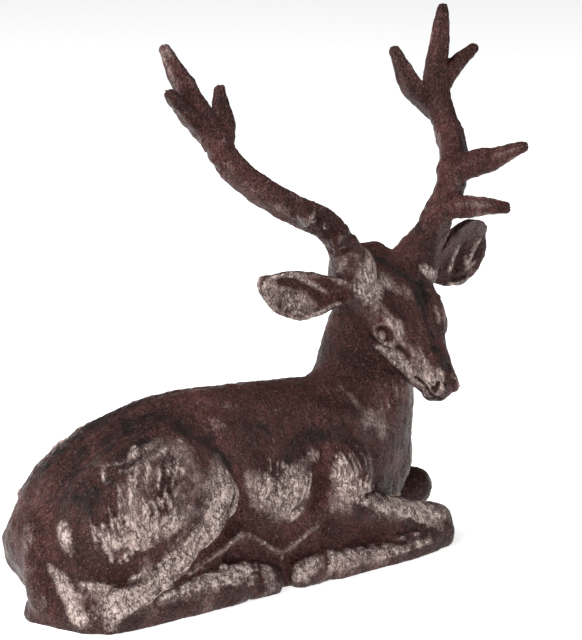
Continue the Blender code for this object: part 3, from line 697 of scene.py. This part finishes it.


# The finish of the iron
# Dark red brown paint over rough iron, with dark mottling and painted shade in it.  Where the wear share
# is strong, light iron shows through a wormy grain, cut by thin dark cracks; its pale colour stands for
# painted sheen and highlights as well as wear.
def cast_iron():
    """Paint, painted shade and pale iron with painted sheen, mixed by the wear share and by a fine grain,
    which also gives the bump.
    """
    material = bpy.data.materials.new("cast_iron")
    material.use_nodes = True
    nodes, links = material.node_tree.nodes, material.node_tree.links
    shader = nodes["Principled BSDF"]
    place = nodes.new("ShaderNodeTexCoord").outputs["Object"]

    def noise(scale, detail, rough, distort=0.0, vector=place):
        """Grey noise with the given number of grains to the metre."""
        node = nodes.new("ShaderNodeTexNoise")
        node.inputs["Scale"].default_value = scale
        node.inputs["Detail"].default_value = detail
        node.inputs["Roughness"].default_value = rough
        node.inputs["Distortion"].default_value = distort
        links.new(vector, node.inputs["Vector"])
        return node.outputs["Fac"]

    def attribute(name):
        """A value that the skin keeps at each point."""
        node = nodes.new("ShaderNodeAttribute")
        node.attribute_name = name
        return node.outputs["Fac"]

    def sum_of(first, second, factor):
        """first + factor * second"""
        node = nodes.new("ShaderNodeMath")
        node.operation = "MULTIPLY_ADD"
        links.new(second, node.inputs[0])
        node.inputs[1].default_value = factor
        links.new(first, node.inputs[2])
        return node.outputs["Value"]

    def ramp(value, *stops):
        """Colour read at the value between stops of position and colour."""
        node = nodes.new("ShaderNodeValToRGB")
        while len(node.color_ramp.elements) < len(stops):
            node.color_ramp.elements.new(0.5)
        for element, (position, colour) in zip(node.color_ramp.elements, stops):
            element.position = position
            element.color = (*colour, 1)
        links.new(value, node.inputs["Fac"])
        return node.outputs["Color"]

    def mix(share, first, second):
        """The first colour at a share of 0 and the second at 1."""
        node = nodes.new("ShaderNodeMix")
        node.data_type = "RGBA"
        links.new(share, node.inputs["Factor"])
        for socket, colour in ((node.inputs["A"], first), (node.inputs["B"], second)):
            if isinstance(colour, tuple):
                socket.default_value = (*colour, 1)
            else:
                links.new(colour, socket)
        return node.outputs["Result"]

    drawn = nodes.new("ShaderNodeMapping")
    drawn.inputs["Scale"].default_value = (1.2, 1.0, 0.55)
    links.new(place, drawn.inputs["Vector"])
    broad = noise(45, 5, 0.6)
    worms = noise(520, 3, 0.5, 1.2)
    grit = noise(950, 3, 0.6)
    folds = noise(210, 4, 0.5, 1.0, drawn.outputs["Vector"])
    wear_and_sheen = attribute("wear_and_sheen")

    red = ramp(sum_of(broad, wear_and_sheen, -0.07), (0.38, (0.044, 0.014, 0.012)), (0.5, (0.080, 0.026, 0.022)),
               (0.66, (0.138, 0.050, 0.045)))
    # Pale specks in the paint: dust with painted glints.
    dust_and_glints = mix(ramp(grit, (0.56, (0, 0, 0)), (0.74, (1, 1, 1))), red, (0.25, 0.16, 0.145))
    speckled = mix(ramp(grit, (0.34, (1, 1, 1)), (0.47, (0, 0, 0))), dust_and_glints, (0.014, 0.007, 0.006))
    # Dark mottling from a noise, deepened by the painted shade.
    mottle_and_shade = sum_of(noise(90, 6, 0.7), attribute("painted_shade"), 0.26)
    paint = mix(ramp(mottle_and_shade, (0.58, (0, 0, 0)), (0.76, (0.95, 0.95, 0.95))), speckled, (0.010, 0.008, 0.008))

    cracks = ramp(folds, (0.455, (0, 0, 0)), (0.485, (0.6, 0.6, 0.6)), (0.51, (0.6, 0.6, 0.6)),
                  (0.54, (0, 0, 0)))
    # Share of pale iron: wear with painted sheen and highlights.
    pale_iron_and_sheen = ramp(sum_of(sum_of(broad, wear_and_sheen, 0.36), worms, 0.34),
                (0.68, (0, 0, 0)), (0.93, (0.95, 0.95, 0.95)))
    # The paler iron tones are painted highlight as well as wear.
    bright_iron_and_sheen = ramp(sum_of(sum_of(worms, wear_and_sheen, 0.26), cracks, -0.2), (0.60, (0, 0, 0)), (0.84, (1, 1, 1)))
    iron = mix(bright_iron_and_sheen, (0.46, 0.335, 0.305), (0.86, 0.70, 0.635))

    colour = mix(cracks, mix(pale_iron_and_sheen, paint, iron), (0.045, 0.02, 0.017))
    links.new(colour, shader.inputs["Base Color"])
    links.new(ramp(pale_iron_and_sheen, (0.0, (0, 0, 0)), (1.0, (0.6, 0.6, 0.6))), shader.inputs["Metallic"])
    shader.inputs["Roughness"].default_value = 0.3
    shader.inputs["Specular IOR Level"].default_value = 0.4
    shader.inputs["Specular Tint"].default_value = (0.6, 0.55, 0.53, 1)
    relief = sum_of(sum_of(sum_of(worms, folds, 0.7), cracks, -0.4), grit, 0.4)
    bump = nodes.new("ShaderNodeBump")
    bump.inputs["Strength"].default_value = 1.0
    bump.inputs["Distance"].default_value = 0.002
    links.new(relief, bump.inputs["Height"])
    links.new(bump.outputs["Normal"], shader.inputs["Normal"])
    return material


casting.data.materials.clear()
casting.data.materials.append(cast_iron())

# The photographer
# A long lens stands behind the stag's right flank and a little above it.  Its distance and the point
# it looks at are in the figure's own units.
PHOTO_HEIGHT = 640
UNIT_TO_PIXEL = 2.0
AIM = np.array((0.0, -46.0, 140.0))
AZIMUTH, ELEVATION = np.radians(-35), np.radians(14)
DISTANCE = 1280.0
SENSOR = 36.0


def bearing(azimuth, elevation):
    """Unit vector from the figure towards a bearing: azimuth 0 is the right flank, seen square."""
    return np.array((np.sin(azimuth) * np.cos(elevation), -np.cos(azimuth) * np.cos(elevation),
                     np.sin(elevation)))


def aimed(thing, middle, direction, distance):
    """Places a camera or a lamp out along the direction from the middle, looking back at it."""
    back = Vector(direction)
    thing.matrix_world = (Matrix.Translation(Vector(middle) + back * distance)
                          @ back.to_track_quat("Z", "Y").to_matrix().to_4x4())
    bpy.context.scene.collection.objects.link(thing)


camera_data = bpy.data.cameras.new("photographer")
camera_data.sensor_width = SENSOR
camera_data.lens = SENSOR * DISTANCE * UNIT_TO_PIXEL / PHOTO_HEIGHT
camera = bpy.data.objects.new("photographer", camera_data)
aimed(camera, AIM * UNIT, bearing(AZIMUTH, ELEVATION), DISTANCE * UNIT)
bpy.context.scene.camera = camera

# The studio
# A white table that runs out of sight.  A broad soft light hangs over the rump, a small cool one lights
# the brow and a large card stands by the camera.
floor_mesh = bpy.data.meshes.new("floor")
reach = 9.0
floor_mesh.from_pydata([(-reach, -reach, 0), (reach, -reach, 0), (reach, reach, 0), (-reach, reach, 0)], [],
                       [(0, 1, 2, 3)])
floor = bpy.data.objects.new("floor", floor_mesh)
bpy.context.scene.collection.objects.link(floor)
white = bpy.data.materials.new("white_table")
white.use_nodes = True
white.node_tree.nodes["Principled BSDF"].inputs["Base Color"].default_value = (0.9, 0.9, 0.9, 1)
white.node_tree.nodes["Principled BSDF"].inputs["Roughness"].default_value = 0.9
white.node_tree.nodes["Principled BSDF"].inputs["Emission Color"].default_value = (1, 1, 1, 1)
white.node_tree.nodes["Principled BSDF"].inputs["Emission Strength"].default_value = 0.75
floor_mesh.materials.append(white)


def softbox(name, azimuth, elevation, distance, size, energy, colour=(1, 1, 1)):
    """Square soft light aimed at the figure's middle from the given bearing."""
    light = bpy.data.lights.new(name, "AREA")
    light.size = size
    light.energy = energy
    light.color = colour
    aimed(bpy.data.objects.new(name, light), AIM * UNIT, bearing(np.radians(azimuth), np.radians(elevation)),
          distance)


softbox("overhead", -130, 62, 1.8, 1.3, 34)
softbox("forehead", -75, 42, 1.6, 0.4, 7, (0.93, 0.95, 1.0))
softbox("card", -40, 34, 2.0, 1.2, 12)
world = bpy.data.worlds.new("studio")
bpy.context.scene.world = world
world.use_nodes = True
world.node_tree.nodes["Background"].inputs["Color"].default_value = (1, 1, 1, 1)
world.node_tree.nodes["Background"].inputs["Strength"].default_value = 0.03
bpy.context.scene.view_settings.view_transform = "Standard"
